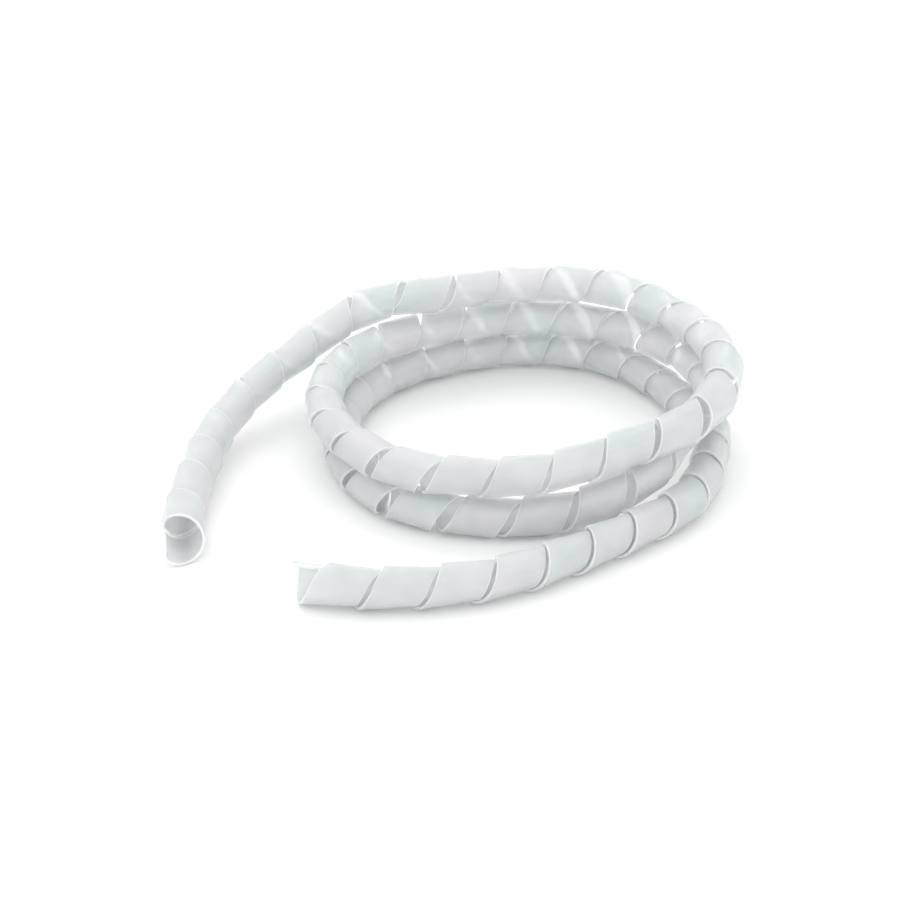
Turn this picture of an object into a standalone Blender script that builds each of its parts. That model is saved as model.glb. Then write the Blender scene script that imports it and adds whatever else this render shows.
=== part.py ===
"""Spiral cable wrap, lying on the floor as a loose coil with two free arms.

The wrap is one flat strip of polyethylene, wound left-handed into a tube. A
cable bundle slips in through the seam between neighbouring wraps. Each wrap
keeps straight along the tube, so the seam opens into a wedge on the outside
of a bend, and on the inside each wrap tucks its rear edge under the wrap
behind it.

Lengths are metres and +Z is up. The origin is on the floor, under the middle
of the object's box. Seen from above, the tube runs clockwise: in from the
left arm, over the top of the coil, down through its turns and out along the
front arm.
"""

import math

import bmesh
import bpy
import numpy as np

# The wound tube and its strip.
TUBE_OD = 0.0200
WALL = 0.0013
STRIP_WIDTH = 0.0252
SEAM_GAP = 0.0002

# How the wraps nest inside a bend: how far one reaches under its neighbour and
# how clear it stays of it, how far its fore edge leans in where the seam is
# open, and the seams that count as closed and as open.
NEST_REACH = 0.0024
NEST_CLEARANCE = 0.0005
FORE_LEAN = 0.0004
CLOSED_SEAM = 0.0010
OPEN_SEAM = 0.0035

# The front arm's last half wrap, which stands nearly square to the tube: how
# far it is drawn back under its neighbour and how far its fore edge leans in.
LAST_WRAP_DEG = 180.0
LAST_DRAW_BACK = 0.0100
LAST_LEAN = 0.0010

# The coil that the tube lies in.
COIL_RADIUS = 0.0960
TURN_GAP = 0.0005

# Where the strip is cut across, as an angle around the tube. Zero is the top
# and a quarter turn is the right-hand side for someone who walks the tube.
FIRST_CUT_DEG = 255.0
LAST_CUT_DEG = 0.0

# Faces around one wrap, degrees of heading between the coil's points, the
# spacing of the samples that the winding is worked out on, and how many raw
# samples of the smooth curve there are to each of them.
STEPS_PER_WRAP = 14
COIL_STEP_DEG = 20.0
SAMPLE_SPACING = 0.0005
RAW_SAMPLES = 2

# The lay of the tube, chosen by eye. Each row is a heading about the coil's
# centre in degrees, how far the tube's centre lies beyond the coil's radius,
# in tube diameters, and how many turns it lies above the floor.
LEFT_ARM = [
    (219.5, 5.35, 0.00),
    (208.0, 4.30, 0.00),
    (198.0, 3.55, 0.12),
    (186.0, 2.98, 0.18),
    (172.0, 2.23, 0.60),
    (156.0, 1.39, 1.16),
    (140.0, 0.59, 1.85),
]
COIL_LAY = [
    (120.0, -0.35, 2.12),
    (90.0, -0.13, 2.06),
    (60.0, 0.27, 2.08),
    (30.0, 0.05, 2.05),
    (0.0, 0.20, 2.04),
    (-30.0, 0.35, 1.75),
    (-60.0, -0.10, 1.40),
    (-90.0, -0.05, 1.08),
    (-120.0, 0.30, 1.00),
    (-180.0, 0.12, 1.00),
    (-210.0, 0.08, 1.00),
    (-240.0, 0.01, 1.00),
    (-300.0, 0.30, 1.00),
    (-360.0, 0.10, 1.00),
    (-390.0, -0.35, 0.90),
    (-420.0, -0.15, 0.30),
    (-450.0, -0.10, 0.00),
    (-480.0, 0.15, 0.00),
    (-540.0, -0.25, 0.00),
    (-600.0, 0.05, 0.00),
    (-645.0, 0.55, 0.00),
    (-690.0, -0.05, 0.00),
]
FRONT_ARM = [
    (-715.0, 0.05, 0.00),
    (-740.0, 0.20, 0.00),
    (-765.0, 0.70, 0.00),
    (-785.0, 1.15, 0.00),
    (-800.0, 1.80, 0.00),
    (-813.0, 2.70, 0.00),
    (-824.0, 3.45, 0.00),
    (-832.0, 3.95, 0.00),
    (-843.9, 4.60, 0.00),
]

# Where the wraps stand further apart than the bend needs, chosen by eye. Each
# row is a distance along the tube in metres and the share added to the pitch.
SEAM_OPENING = [
    (0.00, 0.045),
    (0.20, 0.045),
    (0.28, 0.080),
    (0.45, 0.085),
    (0.55, 0.075),
    (0.65, 0.000),
    (0.75, 0.050),
    (0.85, 0.100),
    (1.05, 0.090),
    (1.35, 0.070),
    (1.45, 0.060),
    (1.55, 0.000),
    (1.65, 0.000),
    (1.75, 0.035),
    (1.85, 0.015),
    (2.00, 0.010),
]

COLLECTION_NAME = "spiral_cable_wrap"
NODE_NAME = "spiral_wrap_strip"
STRIP_COLOUR = (0.74, 0.78, 0.77, 1.0)
STRIP_ROUGHNESS = 0.38
SMOOTH_DEG = 40.0


def clear_scene():
    """Remove the objects that the scene starts with."""
    for item in list(bpy.data.objects):
        bpy.data.objects.remove(item, do_unlink=True)


def eased_share(share):
    """Rise from 0 to 1 with a level start and end, and hold both ends."""
    share = np.clip(share, 0.0, 1.0)
    return share * share * (3.0 - 2.0 * share)


def route_point(heading, beyond, level):
    """Place one point of the tube's centre from its row in the lay."""
    angle = math.radians(heading)
    reach = COIL_RADIUS + beyond * TUBE_OD
    height = TUBE_OD / 2.0 + level * (TUBE_OD + TURN_GAP)
    return (reach * math.cos(angle), reach * math.sin(angle), height)


def eased_values(knots, values, wanted):
    """Read values between knots on a curve that never runs past a knot."""
    steps = np.diff(knots)
    grades = np.diff(values) / steps
    slopes = np.zeros(len(knots))
    slopes[0] = grades[0]
    slopes[-1] = grades[-1]
    for index in range(1, len(knots) - 1):
        before = grades[index - 1]
        after = grades[index]
        if before * after > 0.0:
            slopes[index] = 2.0 * before * after / (before + after)
    cell = np.clip(np.searchsorted(knots, wanted, side="right") - 1, 0, len(steps) - 1)
    share = (wanted - knots[cell]) / steps[cell]
    rise = values[cell + 1] - values[cell]
    start = slopes[cell] * steps[cell]
    end = slopes[cell + 1] * steps[cell]
    bend = 3.0 * rise - 2.0 * start - end
    twist = start + end - 2.0 * rise
    return values[cell] + share * (start + share * (bend + share * twist))


def coil_points():
    """Work out the coil's turns from the lay, a point every few degrees."""
    lay = np.array(COIL_LAY)
    turned = -lay[:, 0]
    count = int(round((turned[-1] - turned[0]) / COIL_STEP_DEG))
    points = []
    for turn in np.linspace(turned[0], turned[-1], count + 1):
        beyond = eased_values(turned, lay[:, 1], turn)
        level = eased_values(turned, lay[:, 2], turn)
        points.append(route_point(-turn, float(beyond), float(level)))
    return points


def smooth_curve(points, spacing):
    """Run one smooth curve through the points and sample it evenly."""
    points = np.array(points)
    chords = np.linalg.norm(np.diff(points, axis=0), axis=1)
    knots = np.concatenate([[0.0], np.cumsum(chords)])
    count = len(points)
    system = np.eye(count)
    target = np.zeros((count, 3))
    for index in range(1, count - 1):
        before = chords[index - 1]
        after = chords[index]
        system[index, index - 1] = before
        system[index, index] = 2.0 * (before + after)
        system[index, index + 1] = after
        change = (points[index + 1] - points[index]) / after
        target[index] = 6.0 * (change - (points[index] - points[index - 1]) / before)
    bends = np.linalg.solve(system, target)
    wanted = np.linspace(0.0, knots[-1], int(knots[-1] / spacing) * RAW_SAMPLES)
    cell = np.clip(np.searchsorted(knots, wanted, side="right") - 1, 0, count - 2)
    length = chords[cell][:, None]
    past = (wanted - knots[cell])[:, None]
    left = length - past
    curve = (bends[cell] * left**3 + bends[cell + 1] * past**3) / (6.0 * length)
    curve += (points[cell] / length - bends[cell] * length / 6.0) * left
    curve += (points[cell + 1] / length - bends[cell + 1] * length / 6.0) * past
    travelled = np.concatenate([[0.0], np.cumsum(np.linalg.norm(np.diff(curve, axis=0), axis=1))])
    even = np.linspace(0.0, travelled[-1], int(travelled[-1] / spacing) + 1)
    samples = np.column_stack([np.interp(even, travelled, curve[:, axis]) for axis in range(3)])
    return even, samples


def read_row(wanted, knots, rows):
    """Interpolate a row between the rows of a table."""
    return np.array([np.interp(wanted, knots, rows[:, axis]) for axis in range(3)])


def tube_route():
    """Give the tube's centre line: distances, positions, directions, bends.

    A bend points to its centre, is one over its radius, and is averaged over
    one strip's width.
    """
    points = [route_point(*row) for row in LEFT_ARM]
    points += coil_points()
    points += [route_point(*row) for row in FRONT_ARM]
    distance, centre = smooth_curve(points, SAMPLE_SPACING)
    direction = np.gradient(centre, distance, axis=0)
    direction /= np.linalg.norm(direction, axis=1)[:, None]
    bend = np.gradient(direction, distance, axis=0)
    reach = int(STRIP_WIDTH / SAMPLE_SPACING)
    window = np.ones(reach) / reach
    padded = np.pad(bend, ((reach // 2, reach - 1 - reach // 2), (0, 0)), mode="edge")
    averaged = [np.convolve(padded[:, axis], window, mode="valid") for axis in range(3)]
    return distance, centre, direction, np.column_stack(averaged)


def wrap_pitches(distance, bend):
    """Work out how far apart neighbouring wraps stand all along the tube."""
    sharpness = np.linalg.norm(bend, axis=1)
    nested = (STRIP_WIDTH - NEST_REACH) / (1.0 - sharpness * TUBE_OD / 2.0)
    walked, opening = np.array(SEAM_OPENING).T
    spread = 1.0 + np.interp(distance, walked, opening)
    return np.maximum(nested, STRIP_WIDTH + SEAM_GAP) * spread


def winding_angles(distance, pitch):
    """Turn the strip around the tube, from a first section flush with the mouth."""
    rate = 2.0 * math.pi / pitch
    turned = np.concatenate([[0.0], np.cumsum((rate[1:] + rate[:-1]) / 2.0 * np.diff(distance))])
    before_cut = np.interp(STRIP_WIDTH / 2.0, distance, turned)
    return math.radians(FIRST_CUT_DEG) + before_cut - turned


def wrap_sections():
    """Place the strip's straight sections, a step apart around the tube.

    Each one has its middle on the tube's centre line, the directions along the
    tube and outward, and how far the strip's end has set in.
    """
    distance, centre, direction, bend = tube_route()
    angles = winding_angles(distance, wrap_pitches(distance, bend))
    step = 2.0 * math.pi / STEPS_PER_WRAP
    first = math.radians(FIRST_CUT_DEG)
    last = math.radians(LAST_CUT_DEG)
    last -= math.floor((last - angles[-1]) / (2.0 * math.pi)) * 2.0 * math.pi
    count = int(round((first - last) / step))
    sections = []
    for number in range(count + 1):
        angle = first - number * step
        ending = eased_share(1.0 - (count - number) * step / math.radians(LAST_WRAP_DEG))
        place = np.interp(-angle, -angles, distance) - LAST_DRAW_BACK * ending
        along = read_row(place, distance, direction)
        along /= np.linalg.norm(along)
        right = np.cross(along, (0.0, 0.0, 1.0))
        right /= np.linalg.norm(right)
        outward = math.cos(angle) * np.cross(right, along) + math.sin(angle) * right
        sections.append((read_row(place, distance, centre), along, outward, ending))
    return sections


def tucked_edges(section, behind):
    """Place a section's rear and fore edge, with the rear one tucked in.

    Where the seam is closed, the rear edge lies just under the wrap behind it,
    whose own rear and fore edge are given.
    """
    middle, along, outward, ending = section
    radius = TUBE_OD / 2.0
    half = STRIP_WIDTH / 2.0
    depth = WALL + NEST_CLEARANCE
    back, front = [(np.dot(edge - middle, along), np.dot(edge - middle, outward)) for edge in behind]
    opened = eased_share((-half - front[0] - CLOSED_SEAM) / (OPEN_SEAM - CLOSED_SEAM))
    fore = FORE_LEAN * opened + (LAST_LEAN - FORE_LEAN * opened) * ending
    under = max(front[0] + half, 0.0) / STRIP_WIDTH
    at_fore = (radius - front[1] + depth - fore * under) / (1.0 - under)
    slope = (front[1] - back[1]) / (front[0] - back[0])
    at_rear = radius - front[1] + depth + slope * max(front[0] + half, 0.0)
    rear = max(at_fore, at_rear) * (1.0 - opened)
    rear_edge = middle + outward * (radius - rear) - along * half
    fore_edge = middle + outward * (radius - fore) + along * half
    return rear_edge, fore_edge


def strip_edges():
    """Work out the two long edges of the strip's outer face, wrap by wrap."""
    sections = wrap_sections()
    edges = []
    for number, section in enumerate(sections):
        if number < STEPS_PER_WRAP:
            middle, along, outward, _ = section
            outer = middle + outward * TUBE_OD / 2.0
            edges.append((outer - along * STRIP_WIDTH / 2.0, outer + along * STRIP_WIDTH / 2.0))
        else:
            edges.append(tucked_edges(section, edges[number - STEPS_PER_WRAP]))
    rears, fores = zip(*edges)
    return np.array(rears), np.array(fores)


def centred_on_floor(rears, fores):
    """Shift both edges so that the box's lowest face has the origin in its middle."""
    both = np.vstack([rears, fores])
    low = both.min(axis=0)
    high = both.max(axis=0)
    shift = np.array([(low[0] + high[0]) / 2.0, (low[1] + high[1]) / 2.0, low[2]])
    return rears - shift, fores - shift


def strip_surface(rears, fores):
    """Sweep one long edge of the strip across to the other as an open surface."""
    grid = bmesh.new()
    first = [grid.verts.new(point) for point in rears]
    chain = [grid.edges.new(pair) for pair in zip(first[:-1], first[1:])]
    swept = bmesh.ops.extrude_edge_only(grid, edges=chain)["geom"]
    moved = [item for item in swept if isinstance(item, bmesh.types.BMVert)]
    partner = {}
    for vertex in moved:
        for edge in vertex.link_edges:
            other = edge.other_vert(vertex)
            if other not in moved:
                partner[other] = vertex
    for vertex, point in zip(first, fores):
        partner[vertex].co = point
    mesh = bpy.data.meshes.new(NODE_NAME)
    grid.to_mesh(mesh)
    grid.free()
    return mesh


def strip_material():
    """Natural polyethylene, pale and satin."""
    material = bpy.data.materials.new("natural_polyethylene")
    material.use_nodes = True
    shader = material.node_tree.nodes["Principled BSDF"]
    shader.inputs["Base Color"].default_value = STRIP_COLOUR
    shader.inputs["Roughness"].default_value = STRIP_ROUGHNESS
    shader.inputs["Metallic"].default_value = 0.0
    return material


def build_strip(collection):
    """Make the wound strip as one solid of even thickness."""
    rears, fores = centred_on_floor(*strip_edges())
    mesh = strip_surface(rears, fores)
    mesh.materials.append(strip_material())
    strip = bpy.data.objects.new(NODE_NAME, mesh)
    collection.objects.link(strip)
    shell = strip.modifiers.new("wall", "SOLIDIFY")
    shell.thickness = WALL
    shell.offset = -1.0
    shell.use_even_offset = True
    mesh.shade_smooth()
    mesh.set_sharp_from_angle(angle=math.radians(SMOOTH_DEG))
    return strip


def main():
    """Build the spiral cable wrap."""
    clear_scene()
    collection = bpy.data.collections.new(COLLECTION_NAME)
    bpy.context.scene.collection.children.link(collection)
    build_strip(collection)


main()
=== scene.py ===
"""The looks of a coiled length of spiral cable wrap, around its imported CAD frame.

The wrap is one strip of natural polyethylene, wound left-handed into a tube.
It lies on a pale floor as a loose coil with two free arms. Lengths are metres
and +Z is up.
"""

from __future__ import annotations

import logging
import math
from dataclasses import dataclass, field
from enum import Enum

import bmesh
import bpy
import numpy as np
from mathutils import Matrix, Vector


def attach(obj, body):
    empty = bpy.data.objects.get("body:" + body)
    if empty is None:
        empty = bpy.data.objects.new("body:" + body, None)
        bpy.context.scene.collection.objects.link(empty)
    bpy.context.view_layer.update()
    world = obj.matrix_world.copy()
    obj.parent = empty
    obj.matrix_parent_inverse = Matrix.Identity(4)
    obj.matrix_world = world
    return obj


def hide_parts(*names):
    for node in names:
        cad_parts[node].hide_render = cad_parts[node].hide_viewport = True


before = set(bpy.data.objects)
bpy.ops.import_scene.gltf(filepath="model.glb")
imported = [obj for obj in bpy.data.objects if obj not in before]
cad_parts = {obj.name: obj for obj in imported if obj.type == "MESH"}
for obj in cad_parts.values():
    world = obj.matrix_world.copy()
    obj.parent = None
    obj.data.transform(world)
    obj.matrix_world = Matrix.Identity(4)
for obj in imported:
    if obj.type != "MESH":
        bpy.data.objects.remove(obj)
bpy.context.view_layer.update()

CAD_NODE = "spiral_wrap_strip"
BODY = "root"
TURN = 2.0 * math.pi

log = logging.getLogger("spiral_cable_wrap")

Row = tuple[float, float, float]
Span = tuple[float, float]
Tint = tuple[float, float, float, float]


class Stretch(Enum):
    """The three stretches of the tube's lay, in the order that it is walked."""

    LEFT_ARM = "left arm"
    COIL = "coil"
    FRONT_ARM = "front arm"


class Finish(Enum):
    """The surface finishes in the scene."""

    PLASTIC = "natural_polyethylene"
    FLOOR = "studio_floor"


def eased_share(share: float) -> float:
    """Rise from 0 to 1 with a level start and end, and hold both ends."""
    share = min(max(share, 0.0), 1.0)
    return share * share * (3.0 - 2.0 * share)


def eased(knots: np.ndarray, values: np.ndarray, wanted: float) -> float:
    """Read a value between knots on a curve that never runs past a knot.

    Args:
        knots: Rising places at which the values are known.
        values: The known values.
        wanted: The place to read.

    Returns:
        The value at the wanted place.
    """
    steps = np.diff(knots)
    grades = np.diff(values) / steps
    slopes = np.concatenate([grades[:1], np.zeros(len(grades) - 1), grades[-1:]])
    for index in range(1, len(grades)):
        before, after = grades[index - 1], grades[index]
        if before * after > 0.0:
            slopes[index] = 2.0 * before * after / (before + after)
    cell = int(np.clip(np.searchsorted(knots, wanted, side="right") - 1, 0, len(steps) - 1))
    share = (wanted - knots[cell]) / steps[cell]
    rise = values[cell + 1] - values[cell]
    start, end = slopes[cell] * steps[cell], slopes[cell + 1] * steps[cell]
    bend = 3.0 * rise - 2.0 * start - end
    twist = start + end - 2.0 * rise
    return float(values[cell] + share * (start + share * (bend + share * twist)))


def evenly(points: np.ndarray, spacing: float) -> tuple[np.ndarray, np.ndarray]:
    """Run one smooth curve through the points and sample it evenly.

    Args:
        points: The points that the curve passes through.
        spacing: The distance between samples.

    Returns:
        The distance along the curve and the position of every sample.
    """
    chords = np.linalg.norm(np.diff(points, axis=0), axis=1)
    knots = np.concatenate([[0.0], np.cumsum(chords)])
    count = len(points)
    system = np.eye(count)
    target = np.zeros((count, 3))
    for index in range(1, count - 1):
        before, after = chords[index - 1], chords[index]
        system[index, index - 1 : index + 2] = before, 2.0 * (before + after), after
        change = (points[index + 1] - points[index]) / after
        target[index] = 6.0 * (change - (points[index] - points[index - 1]) / before)
    bends = np.linalg.solve(system, target)
    wanted = np.linspace(0.0, knots[-1], 2 * int(knots[-1] / spacing))
    cell = np.clip(np.searchsorted(knots, wanted, side="right") - 1, 0, count - 2)
    length = chords[cell][:, None]
    past = (wanted - knots[cell])[:, None]
    left = length - past
    curve = (bends[cell] * left**3 + bends[cell + 1] * past**3) / (6.0 * length)
    curve += (points[cell] / length - bends[cell] * length / 6.0) * left
    curve += (points[cell + 1] / length - bends[cell + 1] * length / 6.0) * past
    steps = np.linalg.norm(np.diff(curve, axis=0), axis=1)
    travelled = np.concatenate([[0.0], np.cumsum(steps)])
    even = np.linspace(0.0, travelled[-1], int(travelled[-1] / spacing) + 1)
    return even, read_rows(even, travelled, curve)


def read_rows(wanted: np.ndarray, knots: np.ndarray, rows: np.ndarray) -> np.ndarray:
    """Interpolate every column of a table of rows at the wanted places."""
    return np.column_stack([np.interp(wanted, knots, rows[:, axis]) for axis in range(3)])


def unit(rows: np.ndarray) -> np.ndarray:
    """Scale every row to length one."""
    return rows / np.linalg.norm(rows, axis=1)[:, None]


@dataclass
class TubeLay:
    """How the tube lies on the floor: its left arm, its coil and its front arm.

    Each row of a stretch is a heading about the coil's centre in degrees, how
    far the tube's centre lies beyond the coil's radius, in tube diameters, and
    how many turns it lies above the floor.
    """

    tube_od: float = 0.0200
    coil_radius: float = 0.0960
    turn_gap: float = 0.0005
    coil_step_deg: float = 20.0
    spacing: float = 0.0005
    rows: dict[Stretch, list[Row]] = field(
        default_factory=lambda: {
            Stretch.LEFT_ARM: [
                (219.5, 5.35, 0.00), (208.0, 4.30, 0.00), (198.0, 3.55, 0.12),
                (186.0, 2.98, 0.18), (172.0, 2.23, 0.60), (156.0, 1.39, 1.16),
                (140.0, 0.59, 1.85),
            ],
            Stretch.COIL: [
                (120.0, -0.35, 2.12), (90.0, -0.13, 2.06), (60.0, 0.27, 2.08),
                (30.0, 0.05, 2.05), (0.0, 0.20, 2.04), (-30.0, 0.35, 1.75),
                (-60.0, -0.10, 1.40), (-90.0, -0.05, 1.08), (-120.0, 0.30, 1.00),
                (-180.0, 0.12, 1.00), (-210.0, 0.08, 1.00), (-240.0, 0.01, 1.00),
                (-300.0, 0.30, 1.00), (-360.0, 0.10, 1.00), (-390.0, -0.35, 0.90),
                (-420.0, -0.15, 0.30), (-450.0, -0.10, 0.00), (-480.0, 0.15, 0.00),
                (-540.0, -0.25, 0.00), (-600.0, 0.05, 0.00), (-645.0, 0.55, 0.00),
                (-690.0, -0.05, 0.00),
            ],
            Stretch.FRONT_ARM: [
                (-715.0, 0.05, 0.00), (-740.0, 0.20, 0.00), (-765.0, 0.70, 0.00),
                (-785.0, 1.15, 0.00), (-800.0, 1.80, 0.00), (-813.0, 2.70, 0.00),
                (-824.0, 3.45, 0.00), (-832.0, 3.95, 0.00), (-843.9, 4.60, 0.00),
            ],
        }
    )

    def place(self, heading: float, beyond: float, level: float) -> Row:
        """Place one point of the tube's centre from its row in the lay.

        Args:
            heading: The heading about the coil's centre, in degrees.
            beyond: How far it lies beyond the coil's radius, in tube diameters.
            level: How many turns it lies above the floor.

        Returns:
            The point.
        """
        angle = math.radians(heading)
        reach = self.coil_radius + beyond * self.tube_od
        height = self.tube_od / 2.0 + level * (self.tube_od + self.turn_gap)
        return (reach * math.cos(angle), reach * math.sin(angle), height)

    def coil_points(self) -> list[Row]:
        """Work out the coil's turns from its rows, a point every few degrees.

        Returns:
            Points on the tube's centre line, in the order that it is walked.
        """
        lay = np.array(self.rows[Stretch.COIL])
        turned = -lay[:, 0]
        count = round((turned[-1] - turned[0]) / self.coil_step_deg)
        return [
            self.place(-turn, eased(turned, lay[:, 1], turn), eased(turned, lay[:, 2], turn))
            for turn in np.linspace(turned[0], turned[-1], count + 1)
        ]

    def centre_line(self) -> tuple[np.ndarray, np.ndarray]:
        """Give the tube's centre line about the coil's centre.

        Returns:
            The distance along the line and the position of every sample.
        """
        points = [self.place(*row) for row in self.rows[Stretch.LEFT_ARM]]
        points += self.coil_points()
        points += [self.place(*row) for row in self.rows[Stretch.FRONT_ARM]]
        return evenly(np.array(points), self.spacing)


@dataclass
class Section:
    """One straight section of the strip, with both ends of its outer face.

    The depths are how far the rear and the fore edge lie below the tube's
    outer face.
    """

    angle: float
    distance: float
    centre: np.ndarray
    along: np.ndarray
    outward: np.ndarray
    ending: float
    rear_depth: float = 0.0
    fore_depth: float = 0.0

    def edge(self, side: float, radius: float, half: float) -> np.ndarray:
        """Place the outer face's rear edge, with side -1, or fore edge, with side 1.

        Args:
            side: Which edge to place.
            radius: The tube's outer radius.
            half: Half of the strip's width.

        Returns:
            The edge's position.
        """
        depth = self.fore_depth if side > 0.0 else self.rear_depth
        return self.centre + self.outward * (radius - depth) + self.along * side * half


@dataclass(frozen=True)
class Nesting:
    """How neighbouring wraps lie on each other, and how the last one ends.

    Inside a bend each wrap tucks its rear edge just under the wrap behind it,
    and on the open side its fore edge leans in a little. The front arm's last
    half wrap is drawn back under its neighbour.
    """

    reach: float = 0.0024
    clearance: float = 0.0005
    fore_lean: float = 0.0004
    closed_seam: float = 0.0010
    open_seam: float = 0.0035
    last_wrap_deg: float = 180.0
    last_draw_back: float = 0.0100
    last_lean: float = 0.0010

    def tuck(
        self, section: Section, behind: Section, radius: float, width: float, wall: float
    ) -> None:
        """Lay a section's edges against the section one wrap behind it.

        Args:
            section: The section to lay, which takes its two depths.
            behind: The section at the same angle, one wrap earlier.
            radius: The tube's outer radius.
            width: The strip's width.
            wall: The strip's thickness.
        """
        half = width / 2.0
        depth = wall + self.clearance
        rear_of, fore_of = (
            behind.edge(side, radius, half) - section.centre for side in (-1.0, 1.0)
        )
        back = (rear_of @ section.along, rear_of @ section.outward)
        front = (fore_of @ section.along, fore_of @ section.outward)
        seam = -half - front[0]
        opened = eased_share((seam - self.closed_seam) / (self.open_seam - self.closed_seam))
        lean = self.fore_lean * opened
        section.fore_depth = lean + (self.last_lean - lean) * section.ending
        overlap = max(front[0] + half, 0.0)
        under = overlap / width
        at_fore = (radius - front[1] + depth - section.fore_depth * under) / (1.0 - under)
        slope = (front[1] - back[1]) / (front[0] - back[0])
        at_rear = radius - front[1] + depth + slope * overlap
        section.rear_depth = max(at_fore, at_rear) * (1.0 - opened)


@dataclass
class WoundStrip:
    """The one piece of the wrap: a flat strip wound into a tube.

    Each row of the opening is a distance along the tube and the share by which
    the wraps stand further apart there than the bend needs.
    """

    lay: TubeLay = field(default_factory=TubeLay)
    nesting: Nesting = field(default_factory=Nesting)
    name: str = "wound_strip"
    wall: float = 0.0013
    width: float = 0.0252
    seam_gap: float = 0.0002
    opening: list[Span] = field(
        default_factory=lambda: [
            (0.00, 0.045), (0.20, 0.045), (0.28, 0.080), (0.45, 0.085), (0.55, 0.075),
            (0.65, 0.000), (0.75, 0.050), (0.85, 0.100), (1.05, 0.090), (1.35, 0.070),
            (1.45, 0.060), (1.55, 0.000), (1.65, 0.000), (1.75, 0.035), (1.85, 0.015),
            (2.00, 0.010),
        ]
    )
    first_cut_deg: float = 255.0
    last_cut_deg: float = 0.0
    steps_per_wrap: int = 42
    cells_across: int = 8
    edge_round: float = 0.00022
    round_steps: int = 3
    pale_rim: float = 0.0007
    sharp_deg: float = 50.0
    shift: np.ndarray = field(default_factory=lambda: np.zeros(3))

    def bends(self, distance: np.ndarray, direction: np.ndarray) -> np.ndarray:
        """Say how sharply the tube bends, averaged over one strip's width.

        Args:
            distance: The distance along the tube of every sample.
            direction: The tube's direction at every sample.

        Returns:
            One over the bend's radius at every sample.
        """
        bend = np.gradient(direction, distance, axis=0)
        reach = int(self.width / self.lay.spacing)
        padded = np.pad(bend, ((reach // 2, reach - 1 - reach // 2), (0, 0)), mode="edge")
        window = np.ones(reach) / reach
        averaged = [np.convolve(padded[:, axis], window, mode="valid") for axis in range(3)]
        return np.linalg.norm(np.column_stack(averaged), axis=1)

    def turned(self, distance: np.ndarray, bend: np.ndarray) -> np.ndarray:
        """Turn the strip around the tube, from a first section flush with the mouth.

        Args:
            distance: The distance along the tube of every sample.
            bend: One over the bend's radius at every sample.

        Returns:
            How far the strip has turned since its first cut, in radians.
        """
        nested = (self.width - self.nesting.reach) / (1.0 - bend * self.lay.tube_od / 2.0)
        walked, opening = np.array(self.opening).T
        pitch = np.maximum(nested, self.width + self.seam_gap)
        rate = TURN / (pitch * (1.0 + np.interp(distance, walked, opening)))
        turns = (rate[1:] + rate[:-1]) / 2.0 * np.diff(distance)
        turned = np.concatenate([[0.0], np.cumsum(turns)])
        return turned - np.interp(self.width / 2.0, distance, turned)

    def sections(self) -> list[Section]:
        """Place the strip's straight sections, a step apart around the tube.

        Returns:
            The sections, from the left arm's cut to the front arm's cut.
        """
        distance, centre = self.lay.centre_line()
        direction = unit(np.gradient(centre, distance, axis=0))
        turned = self.turned(distance, self.bends(distance, direction))
        step = TURN / self.steps_per_wrap
        first = math.radians(self.first_cut_deg)
        last = math.radians(self.last_cut_deg)
        last -= math.floor((last - first + turned[-1]) / TURN) * TURN
        count = round((first - last) / step)
        walked = step * np.arange(count + 1)
        left = (walked[-1] - walked) / math.radians(self.nesting.last_wrap_deg)
        ending = np.array([eased_share(1.0 - share) for share in left])
        place = np.interp(walked, turned, distance) - self.nesting.last_draw_back * ending
        along = unit(read_rows(place, distance, direction))
        right = unit(np.cross(along, (0.0, 0.0, 1.0)))
        upward = np.cross(right, along)
        angle = first - walked
        outward = np.cos(angle)[:, None] * upward + np.sin(angle)[:, None] * right
        middle = read_rows(place, distance, centre)
        placed = [Section(*row) for row in zip(angle, place, middle, along, outward, ending)]
        for section, behind in zip(placed[self.steps_per_wrap :], placed):
            self.nesting.tuck(section, behind, self.lay.tube_od / 2.0, self.width, self.wall)
        return placed

    def profile(self) -> tuple[np.ndarray, np.ndarray, np.ndarray]:
        """Draw the strip's cross-section as one closed loop with rounded corners.

        Returns:
            The place of every point along the tube, its distance from the
            tube's centre, and how much it belongs to the pale cut rim.
        """
        outer = self.lay.tube_od / 2.0
        inner = outer - self.wall
        half = self.width / 2.0
        reach = half - self.edge_round
        inset = half - self.pale_rim
        between = np.linspace(-inset, inset, self.cells_across - 1)
        face = np.concatenate([[-reach], between, [reach]])
        along: list[float] = []
        out: list[float] = []
        corners = [
            (reach, outer, 90.0), (reach, inner, 0.0),
            (-reach, inner, 270.0), (-reach, outer, 180.0),
        ]
        for number, (corner, level, start_deg) in enumerate(corners):
            middle = level - math.copysign(self.edge_round, level - (outer + inner) / 2.0)
            for step in range(self.round_steps + 1):
                turn = math.radians(start_deg - 90.0 * step / self.round_steps)
                along.append(corner + self.edge_round * math.cos(turn))
                out.append(middle + self.edge_round * math.sin(turn))
            if number == 1:
                along.extend(face[::-1][1:-1])
                out.extend([inner] * (len(face) - 2))
        along.extend(face[1:-1])
        out.extend([outer] * (len(face) - 2))
        places = np.array(along)
        rim = np.clip(1.0 - (half - np.abs(places)) / self.pale_rim, 0.0, 1.0)
        return places, np.array(out), rim

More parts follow.
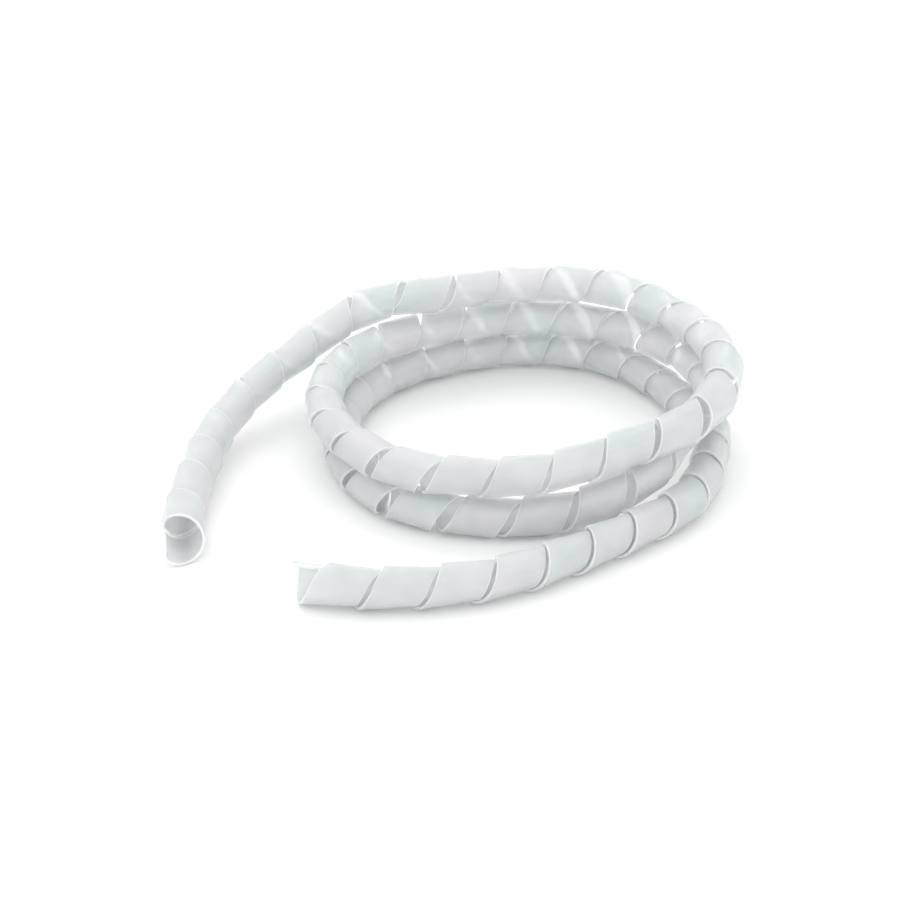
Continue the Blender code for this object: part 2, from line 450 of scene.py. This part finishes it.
    def build(self) -> bpy.types.Object:
        """Sweep the profile along the strip's sections and close both cut ends.

        Returns:
            The wound strip, lying on the floor under its own box's middle.
        """
        sections = self.sections()
        along, out, rim = self.profile()
        share = along / self.width + 0.5
        rings = []
        radii = []
        for section in sections:
            radius = out - section.rear_depth * (1.0 - share) - section.fore_depth * share
            ring = section.centre + np.outer(along, section.along)
            rings.append(ring + np.outer(radius, section.outward))
            radii.append(radius)
        points = np.array(rings)
        flat = points.reshape(-1, 3)
        low, high = flat.min(axis=0), flat.max(axis=0)
        self.shift = np.array([(low[0] + high[0]) / 2.0, (low[1] + high[1]) / 2.0, low[2]])
        mesh = self.swept(points - self.shift)
        self.mark(mesh, sections, along, np.array(radii), rim)
        strip = bpy.data.objects.new(self.name, mesh)
        bpy.context.scene.collection.objects.link(strip)
        return strip

    def swept(self, points: np.ndarray) -> bpy.types.Mesh:
        """Make the skin between neighbouring sections, with a cap on each end.

        Args:
            points: The section's points at every step of the path.

        Returns:
            One closed, smooth-shaded mesh.
        """
        skin = bmesh.new()
        rings = [[skin.verts.new(point) for point in ring] for ring in points]
        size = len(rings[0])
        for before, after in zip(rings[:-1], rings[1:]):
            for index in range(size):
                beside = (index + 1) % size
                skin.faces.new((before[index], before[beside], after[beside], after[index]))
        skin.faces.new(rings[0][::-1])
        skin.faces.new(rings[-1])
        bmesh.ops.recalc_face_normals(skin, faces=skin.faces)
        mesh = bpy.data.meshes.new(self.name)
        skin.to_mesh(mesh)
        skin.free()
        mesh.shade_smooth()
        mesh.set_sharp_from_angle(angle=math.radians(self.sharp_deg))
        return mesh

    def mark(
        self,
        mesh: bpy.types.Mesh,
        sections: list[Section],
        along: np.ndarray,
        radii: np.ndarray,
        rim: np.ndarray,
    ) -> None:
        """Store where each point lay in the straight tube, and the pale cut rim.

        Args:
            mesh: The swept strip.
            sections: The strip's sections.
            along: The profile's places along the tube.
            radii: Every point's distance from the tube's centre.
            rim: The profile's share of pale rim.
        """
        angle = np.array([section.angle for section in sections])[:, None]
        distance = np.array([section.distance for section in sections])[:, None]
        across = [np.cos(angle) * radii, np.sin(angle) * radii]
        straight = np.stack([distance + along, *across], axis=2)
        place = mesh.attributes.new("straight_tube", "FLOAT_VECTOR", "POINT")
        place.data.foreach_set("vector", straight.astype(np.float32).ravel())
        pale = np.tile(rim, (len(sections), 1))
        pale[[0, -1]] = 1.0
        edge = mesh.attributes.new("cut_rim", "FLOAT", "POINT")
        edge.data.foreach_set("value", pale.astype(np.float32).ravel())

    def route(self, step: int = 8) -> list[list[float]]:
        """Give the tube's own centre line where it lies, from mouth to mouth.

        Args:
            step: How many samples of the lay there are to each point.

        Returns:
            Points on the centre line.
        """
        line = self.lay.centre_line()[1]
        return (np.vstack([line[:-1:step], line[-1]]) - self.shift).tolist()


class ShaderSheet:
    """A material's node tree, with short ways to add and join nodes."""

    def __init__(self, name: str) -> None:
        """Start a material with its own surface shader."""
        self.material = bpy.data.materials.new(name)
        self.material.use_nodes = True
        self.tree = self.material.node_tree
        self.shader = self.tree.nodes["Principled BSDF"]

    def add(self, kind: str, **settings: object) -> bpy.types.Node:
        """Add a node and set its own properties.

        Args:
            kind: The node's type name.
            settings: Properties of the node by name.

        Returns:
            The new node.
        """
        node = self.tree.nodes.new(kind)
        for key, value in settings.items():
            setattr(node, key, value)
        return node

    def put(self, node: bpy.types.Node, socket: str | int, value: object) -> None:
        """Set a socket to a value, or join it to another node's output.

        Args:
            node: The node that has the socket.
            socket: The socket's name or number.
            value: The value, or the output to join.
        """
        if isinstance(value, bpy.types.NodeSocket):
            self.tree.links.new(value, node.inputs[socket])
        else:
            node.inputs[socket].default_value = value

    def noise(
        self, place: bpy.types.NodeSocket, scale: Row, detail: float
    ) -> bpy.types.NodeSocket:
        """Make noise whose grain has its own scale along each axis.

        Args:
            place: Where the noise is read.
            scale: Grains for each metre along each axis.
            detail: How many finer octaves there are.

        Returns:
            The noise value, about one half on average.
        """
        stretch = self.add("ShaderNodeVectorMath", operation="MULTIPLY")
        self.put(stretch, 0, place)
        self.put(stretch, 1, scale)
        grain = self.add("ShaderNodeTexNoise")
        self.put(grain, "Vector", stretch.outputs["Vector"])
        self.put(grain, "Scale", 1.0)
        self.put(grain, "Detail", detail)
        return grain.outputs["Fac"]

    def ramp(
        self, value: bpy.types.NodeSocket, low: float, high: float, start: object, end: float
    ) -> bpy.types.NodeSocket:
        """Map a value from one range to another, held at both ends.

        Args:
            value: The value to map.
            low: Where its range starts.
            high: Where its range ends.
            start: What the low end becomes, as a number or another output.
            end: What the high end becomes.

        Returns:
            The mapped value.
        """
        node = self.add("ShaderNodeMapRange")
        for index, item in enumerate((value, low, high, start, end)):
            self.put(node, index, item)
        return node.outputs["Result"]

    def mix(
        self, share: bpy.types.NodeSocket, first: object, second: object
    ) -> bpy.types.NodeSocket:
        """Mix two colours by a share.

        Args:
            share: How much of the second colour there is.
            first: The first colour, or another node's output.
            second: The second colour, or another node's output.

        Returns:
            The mixed colour.
        """
        node = self.add("ShaderNodeMix", data_type="RGBA")
        self.put(node, "Factor", share)
        self.put(node, 6, first)
        self.put(node, 7, second)
        return node.outputs[2]


@dataclass(frozen=True)
class NaturalPolyethylene:
    """Milky, see-through polyethylene with faint extrusion streaks and pale cut rims.

    The cover is how much of what lies behind one face the plastic hides, from
    0 to 1. A wall has two faces.
    """

    cool_tint: Tint = (0.655, 0.712, 0.703, 1.0)
    grey_tint: Tint = (0.722, 0.708, 0.729, 1.0)
    rim_tint: Tint = (0.78, 0.80, 0.80, 1.0)
    thin_cover: float = 0.50
    milky_cover: float = 0.60
    rim_cover: float = 0.75
    glow_depth: float = 0.0030
    refraction: float = 1.50
    patch_scale: Row = (26.0, 36.0, 36.0)
    patch_edge: Span = (0.34, 0.66)
    cloud_scale: Row = (40.0, 50.0, 50.0)
    cloud_edge: Span = (0.35, 0.65)
    streak_scale: Row = (10.0, 420.0, 420.0)
    streak_edge: Span = (0.30, 0.75)
    streak_share: float = 0.20
    streak_strength: float = 0.04
    streak_height: float = 0.0001
    scuff_scale: Row = (90.0, 260.0, 260.0)
    gloss: Span = (0.30, 0.32)

    def material(self) -> bpy.types.Material:
        """Make the plastic's material.

        Returns:
            The finished material.
        """
        sheet = ShaderSheet(Finish.PLASTIC.value)
        shader = sheet.shader
        place = sheet.add("ShaderNodeAttribute", attribute_name="straight_tube").outputs["Vector"]
        rim = sheet.add("ShaderNodeAttribute", attribute_name="cut_rim").outputs["Fac"]
        streaks = sheet.noise(place, self.streak_scale, 1.0)
        patches = sheet.ramp(sheet.noise(place, self.patch_scale, 1.0), *self.patch_edge, 0.0, 1.0)
        clouds = sheet.ramp(sheet.noise(place, self.cloud_scale, 1.0), *self.cloud_edge, 0.0, 1.0)
        scuffs = sheet.noise(place, self.scuff_scale, 2.0)
        body = sheet.mix(patches, self.cool_tint, self.grey_tint)
        pale = sheet.ramp(streaks, *self.streak_edge, 0.0, self.streak_share)
        streaked = sheet.mix(pale, body, self.rim_tint)
        sheet.put(shader, "Base Color", sheet.mix(rim, streaked, self.rim_tint))
        sheet.put(shader, "Roughness", sheet.ramp(scuffs, 0.0, 1.0, *self.gloss))
        sheet.put(shader, "IOR", self.refraction)
        sheet.put(shader, "Subsurface Weight", 1.0)
        sheet.put(shader, "Subsurface Radius", (1.0, 1.0, 1.0))
        sheet.put(shader, "Subsurface Scale", self.glow_depth)
        sheet.put(shader, "Alpha", self.cover(sheet, rim, clouds))
        bump = sheet.add("ShaderNodeBump")
        sheet.put(bump, "Strength", self.streak_strength)
        sheet.put(bump, "Distance", self.streak_height)
        sheet.put(bump, "Height", streaks)
        sheet.put(shader, "Normal", bump.outputs["Normal"])
        return sheet.material

    def cover(
        self, sheet: ShaderSheet, rim: bpy.types.NodeSocket, clouds: bpy.types.NodeSocket
    ) -> bpy.types.NodeSocket:
        """Work out how much each face hides: more where it is milky, most on a cut.

        Args:
            sheet: The node tree.
            rim: The share of cut rim.
            clouds: The share of milky cloud.

        Returns:
            The share that the face hides.
        """
        wall = sheet.ramp(clouds, 0.0, 1.0, self.thin_cover, self.milky_cover)
        return sheet.ramp(rim, 0.0, 1.0, wall, self.rim_cover)


@dataclass
class StudioFloor:
    """A wide, matt, near-white floor."""

    half_side: float = 12.0
    reflectance: float = 0.93

    def build(self) -> bpy.types.Object:
        """Returns:
            The floor.
        """
        mesh = bpy.data.meshes.new(Finish.FLOOR.value)
        sheet = bmesh.new()
        bmesh.ops.create_grid(sheet, x_segments=1, y_segments=1, size=self.half_side)
        sheet.to_mesh(mesh)
        sheet.free()
        floor = bpy.data.objects.new("floor", mesh)
        bpy.context.scene.collection.objects.link(floor)
        matt = ShaderSheet(Finish.FLOOR.value)
        matt.put(matt.shader, "Base Color", (*[self.reflectance] * 3, 1.0))
        matt.put(matt.shader, "Roughness", 1.0)
        matt.put(matt.shader, "Specular IOR Level", 0.0)
        mesh.materials.append(matt.material)
        return floor


@dataclass
class StudioLight:
    """One soft box that points at the wrap."""

    name: str
    place: Row
    size: float
    power: float

    def build(self) -> bpy.types.Object:
        """Hang the soft box and aim it at the coil.

        Returns:
            The soft box.
        """
        data = bpy.data.lights.new(self.name, "AREA")
        data.shape = "DISK"
        data.size = self.size
        data.energy = self.power
        light = bpy.data.objects.new(self.name, data)
        light.location = self.place
        light.rotation_euler = (-Vector(self.place)).to_track_quat("-Z", "Y").to_euler()
        bpy.context.scene.collection.objects.link(light)
        return light


@dataclass
class Studio:
    """The pale studio: floor, even white surroundings and soft boxes."""

    surround: float = 1.30
    floor: StudioFloor = field(default_factory=StudioFloor)
    lights: list[StudioLight] = field(
        default_factory=lambda: [
            StudioLight("overhead_soft_box", (-0.45, 0.75, 1.5), 1.2, 3.0),
        ]
    )

    def build(self) -> None:
        """Set up the surroundings, the floor and the lights."""
        world = bpy.data.worlds.new("studio_surround")
        world.use_nodes = True
        background = world.node_tree.nodes["Background"]
        background.inputs["Color"].default_value = (1.0, 1.0, 1.0, 1.0)
        background.inputs["Strength"].default_value = self.surround
        bpy.context.scene.world = world
        bpy.context.scene.view_settings.view_transform = "Standard"
        self.floor.build()
        for light in self.lights:
            light.build()


@dataclass
class PhotoCamera:
    """The camera at the photograph's viewing angle.

    Its aim is given from the coil's centre on the floor.
    """

    aim: Row = (-0.0354, -0.0528, 0.0240)
    elevation_deg: float = 26.155
    distance: float = 0.9838
    lens_mm: float = 80.78
    sensor_mm: float = 36.0

    def build(self, coil_shift: np.ndarray) -> bpy.types.Object:
        """Set up the camera.

        Args:
            coil_shift: How far the wrap was moved to stand over the origin.

        Returns:
            The scene's camera.
        """
        data = bpy.data.cameras.new("photo_camera")
        data.lens = self.lens_mm
        data.sensor_width = self.sensor_mm
        data.clip_start = 0.01
        camera = bpy.data.objects.new("photo_camera", data)
        elevation = math.radians(self.elevation_deg)
        back = Vector((0.0, -math.cos(elevation), math.sin(elevation)))
        camera.location = Vector(self.aim) - Vector(coil_shift) + back * self.distance
        camera.rotation_euler = (-back).to_track_quat("-Z", "Y").to_euler()
        bpy.context.scene.collection.objects.link(camera)
        bpy.context.scene.camera = camera
        return camera


def declare(strip: WoundStrip, piece: bpy.types.Object) -> None:
    """Attach the strip to the frame's body and hide the CAD part that it stands in for.

    Args:
        strip: The strip's sizes.
        piece: The built strip.
    """
    route = strip.route()
    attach(piece, BODY)
    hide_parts(CAD_NODE)


def main() -> None:
    """Build the wrap, then the studio around it."""
    logging.basicConfig(level=logging.INFO, format="%(name)s: %(message)s")
    strip = WoundStrip()
    piece = strip.build()
    piece.data.materials.append(NaturalPolyethylene().material())
    camera = PhotoCamera().build(strip.shift)
    declare(strip, piece)
    log.info("%s at %s", camera.name, [round(value, 4) for value in camera.location])
    Studio().build()
    log.info("studio: floor, surroundings and soft boxes")


if __name__ == "__main__":
    main()
